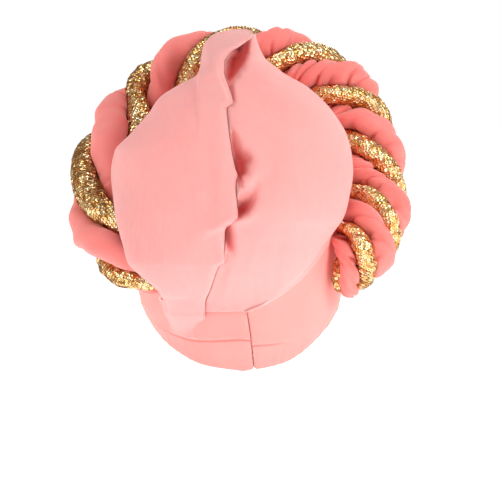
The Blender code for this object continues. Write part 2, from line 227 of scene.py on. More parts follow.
def backingMaterial(v=backing):
    material, wire, shader = startMaterial("sequinBacking", {"Metallic": v["metal"]})
    place = wire.node("TexCoord", output=3)
    knit = wire.node("TexVoronoi", sockets={"Vector": place, "Scale": v["knitScale"]})
    colour = mixColours(wire, knit * 1.4, v["hollow"], v["loop"])
    bump = wire.node("Bump", sockets={"Strength": 0.8, "Distance": v["bumpDepth"], "Height": knit})
    plug(colour, shader, "Base Color")
    plug(1 - knit * 0.6, shader, "Roughness")
    plug(bump, shader, "Normal")
    return material


# Form of the worn cap, the same sizes as the solids: metres
capForm = {
    "headHalfWidth": 0.074,
    "headBack": 0.095,
    "headFront": 0.095,
    "headRise": 0.095,      # from the widest level of the head up to its top
    "napeDrop": 0.117,      # from the widest level down to the nape hem
    "cloth": 0.002,
    "layerGap": 0.0005,
    "sidePuff": 0.021,
    "backPuff": 0.030,
    "topPuff": 0.046,
    "pouchHang": 0.079,
    "sectionTip": math.radians(7.0),
}
widestLevel = -capForm["headRise"]
layer = capForm["cloth"] + capForm["layerGap"]
halvings = 36    # rounds in which a point's reach on the head is narrowed down
settlings = 12   # rounds in which a depth on the head settles


def tableOf(names, *rows):
    return {name: np.array([row[i] for row in rows], float) for i, name in enumerate(names.split())}


def read(table, column, at):  # smooth curve through a table's rows, flat past its ends
    knots = next(iter(table.values()))
    values = table[column]
    slopes = np.diff(values) / np.diff(knots)
    before, after = slopes[:-1], slopes[1:]
    total = np.where(before + after == 0, 1, before + after)
    middle = np.where(before * after > 0, 2 * before * after / total, 0)
    tangents = np.concatenate((slopes[:1], middle, slopes[-1:]))
    at = np.clip(np.asarray(at, float), knots[0], knots[-1])
    i = np.clip(np.searchsorted(knots, at, side="right") - 1, 0, len(knots) - 2)
    span = knots[i + 1] - knots[i]
    t = (at - knots[i]) / span
    return (
        (2 * t**3 - 3 * t**2 + 1) * values[i]
        + (t**3 - 2 * t**2 + t) * span * tangents[i]
        + (3 * t**2 - 2 * t**3) * values[i + 1]
        + (t**3 - t**2) * span * tangents[i + 1]
    )


# Head below its widest level: shares of napeDrop, headHalfWidth, headBack and headFront
headTable = tableOf(
    "drop width back front",
    (0.00, 1.00, 1.00, 1.00),
    (0.22, 1.01, 0.98, 0.98),
    (0.47, 1.01, 0.91, 0.95),
    (0.61, 0.99, 0.84, 0.92),
    (0.73, 0.93, 0.77, 0.90),
    (0.83, 0.86, 0.71, 0.88),
    (1.00, 0.78, 0.64, 0.85),
    (1.20, 0.76, 0.62, 0.84),
)


def halfSection(z, lift):  # half width, back and front length of the head at a height
    z = np.asarray(z, float)
    rise = (z - widestLevel) / (capForm["headRise"] + lift)
    share = np.sqrt(np.clip(1 - rise * rise, 0, None))
    drop = (widestLevel - z) / capForm["napeDrop"]
    sizes = []
    for column, size in (("width", "headHalfWidth"), ("back", "headBack"), ("front", "headFront")):
        below = capForm[size] * read(headTable, column, drop) + lift
        sizes.append(np.where(z >= widestLevel, (capForm[size] + lift) * share, below))
    return sizes


def onHead(bearing, lean, lift):  # the point at a bearing round the long axis and a lean to the face
    turn, tilt = np.radians(bearing), np.radians(lean)
    level = np.cos(tilt)
    way = np.stack((np.sin(turn) * level, np.sin(tilt) + 0 * turn, np.cos(turn) * level), axis=-1)
    near = np.zeros(way.shape[:-1])
    far = near + 2 * (capForm["headRise"] + capForm["headBack"])
    for _ in range(halvings):
        reach = (near + far) / 2
        x, y = reach * way[..., 0], reach * way[..., 1]
        width, back, front = halfSection(widestLevel + reach * way[..., 2], lift)
        length = np.where(y > 0, front, back)
        tiny = 1e-9
        inside = (x / np.maximum(width, tiny)) ** 2 + (y / np.maximum(length, tiny)) ** 2 < 1
        near = np.where(inside, reach, near)
        far = np.where(inside, far, reach)
    return np.array((0.0, 0.0, widestLevel)) + near[..., None] * way


def heightOf(level, y):  # the pouch's sections lie in planes that tip down to the back
    return (level - y * math.sin(capForm["sectionTip"])) / math.cos(capForm["sectionTip"])


def seatDepth(x, level, lift):  # how far back the head reaches in a tipped plane, far in front beside it
    y = np.full(np.broadcast(x, level).shape, -capForm["headBack"])
    beside = np.zeros(y.shape, bool)
    for _ in range(settlings):
        width, back, _ = halfSection(heightOf(level, y), lift)
        beside |= width <= np.abs(x)
        share = np.clip(1 - (x / np.maximum(width, 1e-9)) ** 2, 0, None)
        y = np.where(beside, y, -back * np.sqrt(share))
    return np.where(beside, 1.0, y)


def seatReach(y, level, lift):  # half width of the head at depth y in a tipped plane
    width, back, front = halfSection(heightOf(level, y), lift)
    length = np.where(y > 0, front, back)
    return width * np.sqrt(np.clip(1 - (y / np.maximum(length, 1e-9)) ** 2, 0, None))


def smoothMin(a, b, soft):
    share = np.clip(0.5 + 0.5 * (b - a) / soft, 0, 1)
    return b * (1 - share) + a * share - soft * share * (1 - share)


def smoothStep(at, start, end):
    t = np.clip((at - start) / (end - start), 0, 1)
    return t * t * (3 - 2 * t)


def window(at, rise, fall):  # 1 between two places, falling softly to 0 past them
    return smoothStep(at, *rise) * (1 - smoothStep(at, *fall))


def hump(at, middle, width):
    return np.exp(-(((at - middle) / width) ** 2))


def dent(across, down, line, power=2.0):
    # a hollow along a line of rows (across, down, depth, width to the left, width to the right), in mm
    deepest = np.zeros(np.broadcast(across, down).shape)
    for start, end in zip(line, line[1:]):
        start, end = np.array(start, float), np.array(end, float)
        way = end[:2] - start[:2]
        length = np.hypot(*way)
        way = way / length
        t = np.clip(((across - start[0]) * way[0] + (down - start[1]) * way[1]) / length, 0, 1)
        depth, left, right = (start[i] + (end[i] - start[i]) * t for i in (2, 3, 4))
        dx = across - (start[0] + (end[0] - start[0]) * t)
        dy = down - (start[1] + (end[1] - start[1]) * t)
        side = dx * way[1] - dy * way[0]  # positive to the right of a line that runs down
        width = np.where(side > 0, right, left)
        deepest = np.maximum(deepest, depth * np.exp(-((np.hypot(dx, dy) / width) ** power)))
    return deepest


def rippleField(seed, count, waves, low, high):
    # soft ripples: a sum of waves of random direction, between two wave lengths in mm
    chance = np.random.default_rng(seed)
    parts = []
    for _ in range(count):
        length = chance.uniform(low, high)
        angle = chance.normal(0.0, waves)
        parts.append((2 * math.pi / length, angle, chance.uniform(0, 2 * math.pi)))

    def field(across, down):
        total = 0.0
        for rate, angle, phase in parts:
            total = total + np.sin(rate * (across * math.cos(angle) + down * math.sin(angle)) + phase)
        return total / math.sqrt(count)

    return field


def ripples(rows, across, down):  # rows of height, seed, count, spread of direction, shortest and longest
    return sum(height * rippleField(*row)(across, down) for height, *row in rows)


def unit(vectors):
    return vectors / np.maximum(np.linalg.norm(vectors, axis=-1, keepdims=True), 1e-12)


def lengthAlong(line):  # from a line's first point to each of its points
    return np.concatenate(([0], np.cumsum(np.linalg.norm(np.diff(line, axis=0), axis=1))))


def gridNormals(grid):
    normals = unit(np.cross(np.gradient(grid, axis=0), np.gradient(grid, axis=1)))
    outward = grid - np.array((0.0, 0.0, widestLevel))
    return normals if (outward * normals).sum() > 0 else -normals


def addPiece(name, points, faces, material, smooth=True):
    mesh = bpy.data.meshes.new(name)
    mesh.from_pydata(np.asarray(points).tolist(), [], faces)
    mesh.materials.append(material)
    if smooth:
        mesh.shade_smooth()
    mesh.update()
    piece = bpy.data.objects.new(name, mesh)
    bpy.context.scene.collection.objects.link(piece)
    return piece


def belong(piece, node=None):  # every piece rides on the cap's one body
    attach(piece, "root")
    if node:
        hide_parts(node)


def gridFaces(rows, columns, start=0, around=False, turned=False):
    last = columns if around else columns - 1
    i, j = np.meshgrid(np.arange(rows - 1), np.arange(last), indexing="ij")
    a = start + i * columns + j
    b = start + i * columns + (j + 1) % columns
    quads = np.stack((a, a + columns, b + columns, b), axis=-1).reshape(-1, 4)
    return (quads[:, ::-1] if turned else quads).tolist()


def sheetPiece(name, outer, thick, material):  # a closed sheet, thick inwards from a grid of outer points
    normals = gridNormals(outer)
    rows, columns = outer.shape[:2]
    points = np.concatenate((outer.reshape(-1, 3), (outer - thick * normals).reshape(-1, 3)))
    first = outer[rows // 2, columns // 2]
    down = outer[rows // 2 + 1, columns // 2] - first
    across = outer[rows // 2, columns // 2 + 1] - first
    facesOut = np.dot(np.cross(down, across), normals[rows // 2, columns // 2]) > 0
    inner = rows * columns
    faces = gridFaces(rows, columns, 0, turned=not facesOut)
    faces += gridFaces(rows, columns, inner, turned=facesOut)
    rim = [(i, 0) for i in range(rows)] + [(rows - 1, j) for j in range(1, columns)]
    rim += [(i, columns - 1) for i in range(rows - 2, -1, -1)] + [(0, j) for j in range(columns - 2, 0, -1)]
    for (i, j), (k, l) in zip(rim, rim[1:] + rim[:1]):
        a, b = i * columns + j, k * columns + l
        faces.append([a, a + inner, b + inner, b] if facesOut else [a, b, b + inner, a + inner])
    return addPiece(name, points, faces, material)


def turnUnder(grid, radius, height, steps=6, climbs=4):
    # a hem: the last row rolls in and runs back up inside
    normals = gridNormals(grid)[-1]
    down = unit(grid[-1] - grid[-2])
    rows = [grid]
    for i in range(1, steps + 1):
        angle = math.pi * i / steps
        rows.append((grid[-1] + radius * (math.sin(angle) * down - (1 - math.cos(angle)) * normals))[None])
    for i in range(1, climbs + 1):
        rows.append((grid[-1 - i * max(1, height // climbs)] - 2 * radius * normals)[None])
    return np.concatenate(rows)


print("helpers ready")


# Rope: four padded strands twisted round each other, seated on the crown
rope = {
    "radius": 0.026,
    "outermost": 1.03,         # a strand's reach from the rope's axis, as a share of the radius
    "rings": 700,
    "pinkHalfAngle": math.radians(51.0),
    "goldHalfAngle": math.radians(39.0),
    "between": 0.0003,         # metres of air between neighbouring strands
    "tubeFullness": 1.09,      # over 1, a strand is pressed flat by its neighbours
    "core": 0.06,              # the strands' nearest reach to the axis, as a share of the radius
    "leastRoom": 0.0002,
    "edgeSoftness": 0.0015,    # metres over which a flat side rounds off
    "softening": 60,           # the path's running mean, as a part of the rings
}
# Seat of the axis on the head, its stand-off and its girth as shares of the rope's radius
ropeTable = tableOf(
    "turn bearing lean stand girth",
    (-146, -129, -46, 0.00, 0.24),
    (-140, -123, -44, 0.00, 0.52),
    (-127, -111, -38, 0.00, 0.84),
    (-113, -99, -30, 0.00, 1.00),
    (-99, -89, -18, 0.05, 1.04),
    (-76, -69, 2, 0.00, 1.04),
    (-64, -59, 16, 0.00, 1.00),
    (-47, -45, 26, 0.00, 1.00),
    (-29, -29, 28, 0.00, 1.00),
    (0, -3, 28, 0.00, 0.98),
    (24, 18, 25, 0.05, 0.95),
    (37, 30, 20, 0.15, 0.95),
    (65, 56, 12, 0.20, 0.94),
    (88, 81, 0, 0.05, 0.92),
    (109, 98, -19, 0.00, 0.92),
    (119, 109, -25, 0.00, 0.80),
    (126, 118, -26, 0.00, 0.58),
    (131, 125, -23, 0.00, 0.36),
)
# The turn round the cap at which each half turn of the twist is complete
twistTable = tableOf(
    "halfTurns turn",
    (0, -146),
    (1, -104),
    (2, -58),
    (3, -20),
    (4, 22),
    (5, 51),
    (6, 76),
    (7, 101),
    (8, 118),
    (8.7, 131),
)


def softened(values, reach):  # a short running mean along a path, with its ends held
    kernel = np.hanning(2 * reach + 3)[1:-1]
    kernel /= kernel.sum()
    ahead = 2 * values[:1] - values[reach:0:-1]
    behind = 2 * values[-1:] - values[-2 : -2 - reach : -1]
    longer = np.concatenate((ahead, values, behind))
    return np.stack([np.convolve(longer[:, i], kernel, "valid") for i in range(values.shape[1])], axis=1)


def ropePath(v, rings):
    halfTurns = np.linspace(twistTable["halfTurns"][0], twistTable["halfTurns"][-1], rings)
    turn = read(twistTable, "turn", halfTurns)
    radius = v["radius"] * read(ropeTable, "girth", turn)
    stand = v["radius"] * read(ropeTable, "stand", turn)
    lift = 2 * capForm["cloth"] + 2 * capForm["layerGap"] + stand + radius * v["outermost"]
    bearing, lean = read(ropeTable, "bearing", turn), read(ropeTable, "lean", turn)
    points = np.array([onHead(b, l, up) for b, l, up in zip(bearing, lean, lift)])
    points = softened(points, rings // v["softening"])
    along = unit(np.gradient(points, axis=0))
    back = unit(np.array((0.0, -1.0, 0.0)) + along * along[:, 1:2])
    return {
        "points": points,
        "along": along,
        "back": back,
        "across": np.cross(along, back),
        "radius": radius,
        "twist": np.pi * halfTurns,
        "halfTurns": halfTurns,
    }


ropeLine = ropePath(rope, rope["rings"])


def strandGrid(v, line, middle, halfAngle, sides, puff, outer):
    # rings of points round one strand: a round tube pressed flat where it meets its neighbours
    swing = np.linspace(-math.pi, math.pi, sides, endpoint=False)
    full = v["tubeFullness"] * math.sin(halfAngle)
    reach = outer / (1 + full)
    tube = full * reach
    radial = reach + tube * np.cos(swing)
    tangent = tube * np.sin(swing)
    radius = line["radius"][:, None]
    puffed = puff(np.linspace(0, 1, len(radius))[:, None], swing[None, :])
    radial = radius * radial[None, :] + puffed * np.cos(swing)
    tangent = radius * tangent[None, :] + puffed * np.sin(swing)
    radial = np.maximum(radial, v["core"] * radius)
    room = (radial * math.sin(halfAngle) - v["between"]) / math.cos(halfAngle)
    soft = v["edgeSoftness"] * np.minimum(1, radius / v["radius"])
    tangent = np.sign(tangent) * smoothMin(np.abs(tangent), np.maximum(room, v["leastRoom"]), soft)
    angle = (middle - line["twist"])[:, None]
    back, across = line["back"][:, None, :], line["across"][:, None, :]
    outward = np.cos(angle)[..., None] * back + np.sin(angle)[..., None] * across
    sideways = -np.sin(angle)[..., None] * back + np.cos(angle)[..., None] * across
    return line["points"][:, None, :] + radial[..., None] * outward + tangent[..., None] * sideways, swing


def tubePiece(name, grid, material):
    rings, sides = grid.shape[:2]
    points = np.concatenate((grid.reshape(-1, 3), grid[:1].mean(axis=1), grid[-1:].mean(axis=1)))
    first = np.cross(grid[1, 0] - grid[0, 0], grid[0, 1] - grid[0, 0])
    turned = np.dot(first, grid[0, 0] - grid[0].mean(axis=0)) > 0
    faces = gridFaces(rings, sides, 0, around=True, turned=not turned)
    start, end = rings * sides, rings * sides + 1
    last = (rings - 1) * sides
    for j in range(sides):
        k = (j + 1) % sides
        caps = ([j, k, start], [last + k, last + j, end])
        faces += [cap[::-1] if turned else cap for cap in caps]
    return addPiece(name, points, faces, material)


# Pink strands: padded tubes of the cap's cloth, ruched across
pinkStrand = {
    "sides": 60,
    "outer": 1.13,             # reach from the rope's axis, as a share of its radius
    "tightens": (2.8, 4.2),    # half turns of the twist over which the gathers grow close and deep
    "creaseSpacing": 0.0062,   # metres between gathers where the rope is tightly twisted
    "looseSpacing": 2.7,       # times that where it is loose
    "creaseWidth": (0.0009, 0.0018),
    "creaseDepth": (0.0018, 0.0050),
    "looseDepth": 0.25,        # share of the depth where it is loose
    "creaseStart": (80, 112),  # degrees round the strand, from its outermost line
    "creaseSpread": (26, 60),
    "tightSpread": 40,         # degrees added to the widest spread
    "scatter": 0.0018,         # metres along the rope
    "slant": (0.0022, 0.0012),
    "sway": 0.0008,
    "puffDepth": 0.0017,       # metres of soft fullness between the gathers
    "loosePuff": 0.4,
    "swell": (9, 0.5, 16, 40),
    "fullRadius": 0.024,       # a thinner rope has shallower gathers
    # the strands' tones are the cap's crepe set darker and redder than the pouch's: painted shade for the
    # way the strands' cloth turns from the light
    "light": (0.91, 0.275, 0.25),
    "deep": (0.86, 0.205, 0.185),
}


def ruching(v, line, seed):
    # creases that start where the strand runs under its neighbours and fade out across it
    chance = np.random.default_rng(seed)
    length = lengthAlong(line["points"])
    tightness = smoothStep(line["halfTurns"], *v["tightens"])
    loose = v["looseDepth"]
    scattered, leaning = v["slant"]
    low, high = v["creaseSpread"]
    rows = []
    place = 0.004
    while place < length[-1]:
        tight = np.interp(place, length, tightness)
        for edge in (-1, 1):
            start = edge * math.radians(chance.uniform(*v["creaseStart"]))
            spreadAngle = math.radians(chance.uniform(low, high + v["tightSpread"] * tight))
            depth = chance.uniform(*v["creaseDepth"]) * (loose + (1 - loose) * tight)
            width = chance.uniform(*v["creaseWidth"])
            slant = chance.normal(0, scattered) + edge * leaning
            rows.append((place + chance.normal(0, v["scatter"]), start, spreadAngle, depth, width, slant))
        spacing = v["looseSpacing"] + (1 - v["looseSpacing"]) * tight
        place += v["creaseSpacing"] * chance.uniform(0.6, 1.5) * spacing
    swell = rippleField(seed + 1, *v["swell"])

    def puff(share, swing):
        at = np.interp(share, np.linspace(0, 1, len(length)), length)
        puffed = v["loosePuff"] + (1 - v["loosePuff"]) * tightness[:, None]
        depth = v["puffDepth"] * puffed * swell(at * 1000, np.degrees(swing) * 0.35)
        for place, start, spreadAngle, deep, width, slant in rows:
            near = np.abs(at[:, 0] - place) < 8 * width + 0.008
            turned = (swing - start + math.pi) % (2 * math.pi) - math.pi
            fade = np.exp(-((turned / spreadAngle) ** 2))
            across = np.abs(at[near] - place - slant * turned - v["sway"] * np.sin(2.2 * turned))
            depth[near] -= deep * fade * np.exp(-((across / width) ** 1.4))
            depth[near] += 0.25 * deep * fade * np.exp(-((across / (3 * width) - 1) ** 2))
        return depth * np.minimum(1, line["radius"] / v["fullRadius"])[:, None]

    return puff


# the strands' own copy of the crepe carries that painted shade in its darker, redder tones
strandCrepe = crepeMaterial("strandCrepe", pinkStrand["light"], pinkStrand["deep"], crimp=0.2)


def makePinkStrand(number, middle):
    v = pinkStrand
    puff = ruching(v, ropeLine, 40 + number)
    grid, _ = strandGrid(rope, ropeLine, middle, rope["pinkHalfAngle"], v["sides"], puff, v["outer"])
    piece = tubePiece(f"pinkStrand{number}", grid, strandCrepe)
    belong(piece, f"pink_strand_{number}")


makePinkStrand(1, math.radians(90))
makePinkStrand(2, math.radians(270))
print("pink strands made")

# Gold strands: padded tubes of fine net with rows of sewn sequins
goldStrand = {
    "sides": 22,
    "outer": 1.02,
    "lumpDepth": 0.0005,
    "lumps": (7, 0.6, 9, 22),
    "discRadius": 0.00148,     # metres; a sequin of about 3 mm
    "holeShare": 0.34,
    "spacing": 0.00245,        # along a row
    "rowSpacing": 0.00235,
    "corners": 8,
    "cup": 0.00022,            # how far a sequin's middle sinks
    "lift": 0.00045,           # metres above the net
    "shingle": math.radians(11),
    "scatter": math.radians(7),
    "wander": 0.00016,         # metres that a sequin strays from its place
    "sizes": (0.94, 1.05),
    "shown": math.radians(128),  # rows run this far round each way from the outermost line
}
sequinGold = sequinMaterial()
sequinBacking = backingMaterial()


def lumps(v, seed):
    field = rippleField(seed, *v["lumps"])

    def puff(share, swing):
        return v["lumpDepth"] * field(share * rope["rings"], np.degrees(swing) * 0.3)

    return puff


def sequinPlaces(v, grid, swing, seed):
    # rows of places on the strand's surface, evenly spaced by arc length, with the surface's own axes there
    chance = np.random.default_rng(seed)
    around = np.roll(grid, -1, axis=1) - np.roll(grid, 1, axis=1)
    normals = unit(np.cross(np.gradient(grid, axis=0), around))
    if ((grid - grid.mean(axis=1, keepdims=True)) * normals).sum() < 0:
        normals = -normals
    length = lengthAlong(grid.mean(axis=1))
    places = []
    for row in range(int(length[-1] / v["rowSpacing"])):
        ring = np.interp(row * v["rowSpacing"], length, np.arange(len(length)))
        i = min(int(ring), len(length) - 2)
        outline = grid[i] + (grid[i + 1] - grid[i]) * (ring - i)
        facing = normals[i] + (normals[i + 1] - normals[i]) * (ring - i)
        girth = lengthAlong(outline)
        low, high = (np.interp(sign * v["shown"], swing, girth) for sign in (-1, 1))
        at = np.arange(low + (row % 2) * v["spacing"] / 2, high, v["spacing"])
        at = at + chance.normal(0, v["wander"], len(at))
        centre = np.stack([np.interp(at, girth, outline[:, k]) for k in range(3)], axis=1)
        facing = np.stack([np.interp(at, girth, facing[:, k]) for k in range(3)], axis=1)
        way = np.repeat((grid[i + 1] - grid[i]).mean(axis=0)[None], len(at), axis=0)
        stray = way / np.linalg.norm(way[:1]) * chance.normal(0, v["wander"])
        places.append(np.stack((centre + stray, facing, way), 1))
    return np.concatenate(places), chance


def sequinPiece(v, name, places, chance):
    centre, facing, way = places[:, 0], unit(places[:, 1]), places[:, 2]
    way = unit(way - facing * (way * facing).sum(axis=1, keepdims=True))
    side = np.cross(facing, way)
    leanAlong = v["shingle"] + chance.normal(0, v["scatter"], len(centre))
    leanSide = chance.normal(0, v["scatter"], len(centre))
    facing = unit(facing + np.tan(leanAlong)[:, None] * way + np.tan(leanSide)[:, None] * side)
    way = unit(way - facing * (way * facing).sum(axis=1, keepdims=True))
    side = np.cross(facing, way)
    centre = centre + v["lift"] * facing
    turn = 2 * math.pi * np.arange(v["corners"]) / v["corners"]
    size = v["discRadius"] * chance.uniform(*v["sizes"], len(centre))[:, None, None]
    ring = np.cos(turn)[None, :, None] * way[:, None] + np.sin(turn)[None, :, None] * side[:, None]
    rim = centre[:, None] + size * ring
    hole = centre[:, None] + v["holeShare"] * size * ring - v["cup"] * facing[:, None]
    points = np.concatenate((rim, hole), axis=1).reshape(-1, 3)
    n = v["corners"]
    corner = np.arange(n)
    disc = np.stack((corner, (corner + 1) % n, (corner + 1) % n + n, corner + n), axis=1)
    faces = (disc[None] + 2 * n * np.arange(len(centre))[:, None, None]).reshape(-1, 4).tolist()
    return addPiece(name, points, faces, sequinGold, smooth=False)


def makeGoldStrand(number, middle):
    v = goldStrand
    puff = lumps(v, 60 + number)
    grid, swing = strandGrid(rope, ropeLine, middle, rope["goldHalfAngle"], v["sides"], puff, v["outer"])
    piece = tubePiece(f"goldStrand{number}", grid, sequinBacking)
    belong(piece, f"gold_strand_{number}")
    places, chance = sequinPlaces(v, grid, swing, 80 + number)
    belong(sequinPiece(v, f"sequins{number}", places, chance))
    print("sequins on gold strand", number, len(places))


makeGoldStrand(1, 0.0)
makeGoldStrand(2, math.pi)
print("gold strands made")


# Pouch: the puffed back, a left panel whose rolled edge overlaps a gathered right lobe
pouch = {
    "halfWidth": capForm["headHalfWidth"] + capForm["sidePuff"],
    "depth": capForm["headBack"] + capForm["backPuff"],
    "height": capForm["topPuff"] + capForm["headRise"] + capForm["pouchHang"],
    "top": capForm["topPuff"],        # level of the highest section
    "lift": 3 * layer,                # the edges' height over the head form, on the band
    "rollRadius": 0.0052,
    "foldClearance": 0.0008,
    "edgeWidth": 0.004,
    "topOverlap": 0.004,
    "cloth": 0.0012,
    "ease": 0.0035,                   # metres over which the cloth bends on to what it lies on
    "ridgeEase": 24.0,                # mm over which the kinks of the overlapping edge are smoothed out
    "ridgeEased": (50.0, 85.0),       # mm down between which that sets in
    "light": (0.93, 0.40, 0.38),
    "deep": (0.90, 0.34, 0.33),
}
# Sections from the top: shares of the pouch's height, half width and depth, and of the roll's radius
panelTable = tableOf(
    "drop side rear flank rim roll tuck",
    (0.000, -0.08, -0.05, -0.08, -0.11, 0.3, 1),
    (0.011, -0.19, 0.05, -0.08, -0.16, 0.3, 1),
    (0.032, -0.26, 0.16, -0.07, -0.20, 0.6, 1),
    (0.056, -0.30, 0.24, -0.05, -0.21, 1.2, 1),
    (0.098, -0.32, 0.34, -0.02, -0.21, 1.5, 1),
    (0.150, -0.33, 0.45, 0.05, -0.20, 1.2, 1),
    (0.200, -0.51, 0.54, 0.14, -0.19, 1.2, 1),
    (0.250, -0.67, 0.66, 0.20, -0.16, 1.0, 1),
    (0.294, -0.74, 0.74, 0.25, -0.12, 1.0, 1),
    (0.374, -0.90, 0.85, 0.31, -0.04, 1.0, 1),
    (0.431, -1.02, 0.90, 0.35, 0.05, 1.0, 1),
    (0.508, -1.05, 0.95, 0.39, 0.15, 1.0, 1),
    (0.627, -1.02, 0.99, 0.48, 0.30, 1.0, 1),
    (0.697, -0.99, 0.98, 0.56, 0.40, 1.0, 1),
    (0.760, -0.95, 0.97, 0.62, 0.50, 1.0, 1),
    (0.823, -0.91, 0.95, 0.68, 0.56, 1.0, 1),
    (0.872, -0.80, 0.90, 0.69, 0.60, 1.0, 1),
    (0.920, -0.67, 0.83, 0.62, 0.60, 0.7, 0.35),
    (0.960, -0.61, 0.75, 0.55, 0.56, 0.3, 0),
    (1.000, -0.58, 0.67, 0.50, 0.50, 0.1, 0),
)
lobeTable = tableOf(
    "drop side rear flank rim tuck",
    (0.014, 0.125, -0.02, -0.08, -0.12, 1),
    (0.045, 0.145, 0.10, -0.07, -0.20, 1),
    (0.098, 0.20, 0.27, -0.04, -0.21, 1),
    (0.150, 0.34, 0.42, 0.02, -0.20, 1),
    (0.200, 0.54, 0.54, 0.10, -0.19, 1),
    (0.250, 0.67, 0.66, 0.16, -0.16, 1),
    (0.294, 0.76, 0.74, 0.20, -0.12, 1),
    (0.374, 0.87, 0.84, 0.26, -0.04, 1),
    (0.445, 0.91, 0.90, 0.31, 0.05, 1),
    (0.500, 0.92, 0.94, 0.35, 0.15, 1),
    (0.590, 0.89, 0.972, 0.42, 0.26, 1),
    (0.645, 0.86, 0.980, 0.46, 0.34, 1),
    (0.675, 0.83, 0.979, 0.48, 0.38, 1),
    (0.720, 0.75, 0.970, 0.52, 0.44, 0.5),
    (0.760, 0.68, 0.95, 0.58, 0.54, 0),
    (0.798, 0.62, 0.93, 0.58, 0.54, 0),
    (0.864, 0.50, 0.87, 0.62, 0.60, 0),
    (0.928, 0.33, 0.79, 0.66, 0.64, 0),
    (0.975, 0.15, 0.71, 0.67, 0.66, 0),
    (0.995, 0.04, 0.68, 0.66, 0.66, 0),
)
# The overlapping edge: mm down from the pouch's top and mm across from the head's middle
foldTable = tableOf(
    "down across",
    (0, 4.0), (1.5, 8.0), (4.0, 10.2), (6.6, 9.0), (9.7, 5.2), (13.6, 0.0), (17.4, -6.0),
    (21.3, -9.6), (26.6, -12.3), (34.3, -12.3), (44.4, -9.2), (54.4, -6.2), (58.2, -5.4),
    (62.8, -9.6), (71.3, -9.2), (86.7, -7.7), (108.3, -3.9), (114.4, -1.7), (119.0, -3.1),
    (136.8, -2.3), (146.0, -3.1), (152.2, -11.6), (167.5, -11.9), (180.6, -12.3),
    (183.7, -16.2), (186.8, -17.7), (202.2, -23.1), (212.2, -27.0), (220.0, -27.0),
)


def ropeDepth(x, level):  # how far back the rope reaches at x in a tipped plane, far in front beside it
    tip = capForm["sectionTip"]
    way = np.array((0.0, math.cos(tip), -math.sin(tip)))
    every = slice(None, None, 5)
    radii = ropeLine["radius"][every] * rope["outermost"] + layer + 2 * capForm["layerGap"]
    start = np.stack((x + 0 * level, 0 * x + 0 * level, heightOf(level, 0.0) + 0 * x), axis=-1)
    found = np.full(start.shape[:-1], 1.0)
    for point, radius in zip(ropeLine["points"][every], radii):
        apart = point - start
        along = apart @ way
        off = radius**2 - ((apart - along[..., None] * way) ** 2).sum(axis=-1)
        reach = (along - np.sqrt(np.maximum(off, 0))) * math.cos(tip)
        found = np.where(off > 0, np.minimum(found, reach), found)
    return found


def heldOff(x, y, level, lift):  # y, or the seat where the cloth would sink into the head form or the rope
    x, y, level = np.broadcast_arrays(x, y, level)
    y = smoothMin(y, seatDepth(x, level, lift), pouch["ease"])
    return smoothMin(y, ropeDepth(x, level), pouch["ease"])


def sectionSizes(table, drop):
    v = pouch
    level = v["top"] - v["height"] * drop
    side = v["halfWidth"] * read(table, "side", drop)
    rear, flank, rim = (-v["depth"] * read(table, name, drop) for name in ("rear", "flank", "rim"))
    tuck = read(table, "tuck", drop)
    seat = seatDepth(side, level, v["lift"])
    flank = np.where((tuck < 1) & (seat < 1), tuck * flank + (1 - tuck) * seat, flank)
    flank = heldOff(side, flank, level, v["lift"])
    inner = np.copysign(seatReach(rim, level, 2 * layer - capForm["layerGap"]), side)
    return level, side, rear, flank, rim, tuck, inner


def edgeCurve(share, side, flank, rim, inner, tuck, level, end):
    # the edge turns in to the crown, or lies down on the band, where it ends at the lift called end
    angle = math.pi / 2 * share
    turned = inner + (side - inner) * np.cos(angle)
    x = tuck * turned + (1 - tuck) * (side + np.copysign(pouch["edgeWidth"] * share, side))
    y = flank + (rim - flank) * np.sin(angle)
    lift = pouch["lift"] + (end - pouch["lift"]) * (1 - tuck) * share**2
    seat = seatDepth(x, level + 0 * x, lift)
    y = np.where((tuck < 1) & (seat < 1), tuck * y + (1 - tuck) * seat, y)
    return x, heldOff(x, y, level, lift)


def rollOf(drop):
    fold = read(foldTable, "across", drop * pouch["height"] * 1000) / 1000
    rear = -pouch["depth"] * read(panelTable, "rear", drop)
    radius = pouch["rollRadius"] * read(panelTable, "roll", drop)
    return fold - radius, rear + radius, radius


def fullness(x, rear, flank, side, drop, line):
    # the pouch's back at x: fullest along the edge's line with its kinks smoothed out, falling to the flank
    down = drop * pouch["height"] * 1000
    around = np.linspace(-1, 1, 21)
    weights = np.cos(around * math.pi / 2)
    nearby = [read(foldTable, "across", down + a * pouch["ridgeEase"]) for a in around]
    smooth = sum(weight * across for weight, across in zip(weights, nearby)) / weights.sum()
    shift = smooth - read(foldTable, "across", down)
    ridge = line + shift * smoothStep(down, *pouch["ridgeEased"]) / 1000
    share = np.clip((x - ridge) / (side - ridge), 0, 1)
    return flank + (rear - flank) * np.sqrt(1 - share**2)


def pouchGrid(v, x, y, level, side, flank, rim, tuck, inner):  # the back and the edge that turns in from it
    share = np.linspace(0, 1, v["columns"][-1] + 1)[None, 1:]
    edgeX, edgeY = edgeCurve(share, side, flank, rim, inner, tuck, level, v["edgeLift"])
    x, y = np.concatenate((x, edgeX), axis=1), np.concatenate((y, edgeY), axis=1)
    x, y, level = np.broadcast_arrays(x, y, level)
    return np.stack((x, y, heightOf(level, y)), axis=-1)


def plainEdges(grid, edges):  # 1 over the middle columns, falling to 0 at the rolled and tucked edges
    return window(np.linspace(0, 1, grid.shape[1]), *edges)[None, :]


def moveOut(grid, amount):
    return grid + amount[..., None] * gridNormals(grid)


def inMm(grid):  # mm across and mm down from the pouch's top, as seen from behind
    tip = capForm["sectionTip"]
    level = grid[..., 2] * math.cos(tip) + grid[..., 1] * math.sin(tip)
    return grid[..., 0] * 1000, (pouch["top"] - level) * 1000


pouchCrepe = crepeMaterial("pouchCrepe", pouch["light"], pouch["deep"], crimp=0.8)

